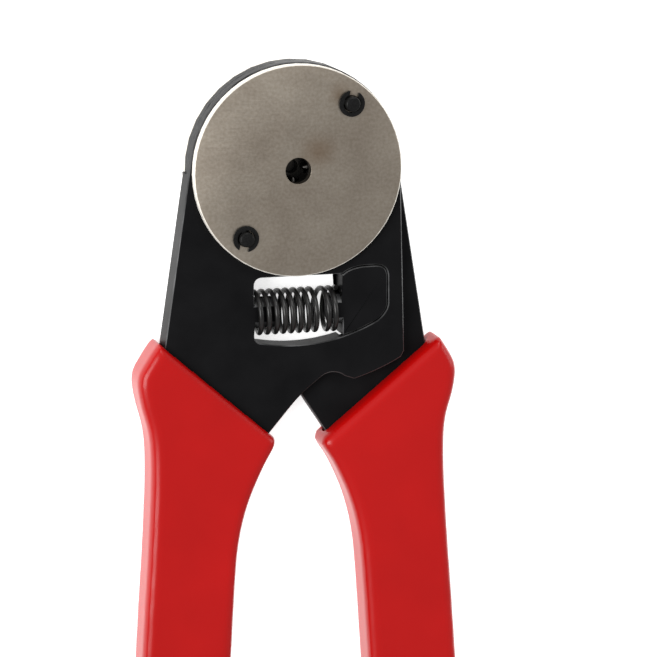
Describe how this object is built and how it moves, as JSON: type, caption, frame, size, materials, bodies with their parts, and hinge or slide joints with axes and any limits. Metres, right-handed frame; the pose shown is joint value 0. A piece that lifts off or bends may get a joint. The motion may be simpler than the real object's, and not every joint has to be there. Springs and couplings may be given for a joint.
{
  "type": "four-indent crimping pliers",
  "caption": "Hand crimping pliers with a round head, a central entry hole, radial indenters driven by a cam ring, a return spring in a window and dipped vinyl grips",
  "frame": {"origin": "on the head's axis, at the flat end of the locator that the tool lies on", "axes": "+Y from the grips to the head, +Z out of the front disc, +X to the side of the right grip"},
  "size_m": [0.0814, 0.1975, 0.0131],
  "materials": {
    "frame": "black oxide on forged and blanked steel, smooth and lightly oiled",
    "grip": "glossy red dipped vinyl",
    "disc": "satin nickel-plated steel with a turned chamfer",
    "dark_steel": "phosphated spring steel",
    "hard_steel": "ground hardened steel",
    "spring": "oiled music wire"
  },
  "bodies": {
    "left_half": {"frame_left": "frame", "grip_left": "grip", "front_disc": "disc", "rear_disc": "disc", "stud_upper": "dark_steel", "stud_lower": "dark_steel", "clip_upper": "dark_steel", "clip_lower": "dark_steel", "guide_hub": "hard_steel", "hub_pin_1": "hard_steel", "hub_pin_2": "hard_steel", "return_spring_east": "spring", "return_spring_north": "spring", "return_spring_west": "spring", "return_spring_south": "spring", "main_spring": "spring", "locator": "hard_steel", "locator_lock_ring": "dark_steel"},
    "right_half": {"frame_right": "frame", "grip_right": "grip", "cam_ring": "hard_steel", "cam_key": "hard_steel"},
    "indenter_e": {"indenter_east": "hard_steel"},
    "indenter_n": {"indenter_north": "hard_steel"},
    "indenter_w": {"indenter_west": "hard_steel"},
    "indenter_s": {"indenter_south": "hard_steel"}
  },
  "joints": [
    {"name": "handle_hinge", "type": "hinge", "parent": "left_half", "child": "right_half", "pos_m": [0, 0, 0.0058], "axis": [0, 0, -1], "range_deg": [0, 9], "stiffness_Nm_per_rad": 2, "springref_deg": -5.73, "deforming": ["main_spring"]},
    {"name": "indenter_e_slide", "type": "slide", "parent": "left_half", "child": "indenter_e", "axis": [-1, 0, 0], "range_m": [0, 0.0012], "deforming": ["return_spring_east"]},
    {"name": "indenter_n_slide", "type": "slide", "parent": "left_half", "child": "indenter_n", "axis": [0, -1, 0], "range_m": [0, 0.0012], "deforming": ["return_spring_north"]},
    {"name": "indenter_w_slide", "type": "slide", "parent": "left_half", "child": "indenter_w", "axis": [1, 0, 0], "range_m": [0, 0.0012], "deforming": ["return_spring_west"]},
    {"name": "indenter_s_slide", "type": "slide", "parent": "left_half", "child": "indenter_s", "axis": [0, 1, 0], "range_m": [0, 0.0012], "deforming": ["return_spring_south"]}
  ],
  "couplings": [
    {"joint": "indenter_e_slide", "follows": "handle_hinge", "m_per_rad": 0.00763},
    {"joint": "indenter_n_slide", "follows": "handle_hinge", "m_per_rad": 0.00763},
    {"joint": "indenter_w_slide", "follows": "handle_hinge", "m_per_rad": 0.00763},
    {"joint": "indenter_s_slide", "follows": "handle_hinge", "m_per_rad": 0.00763}
  ]
}
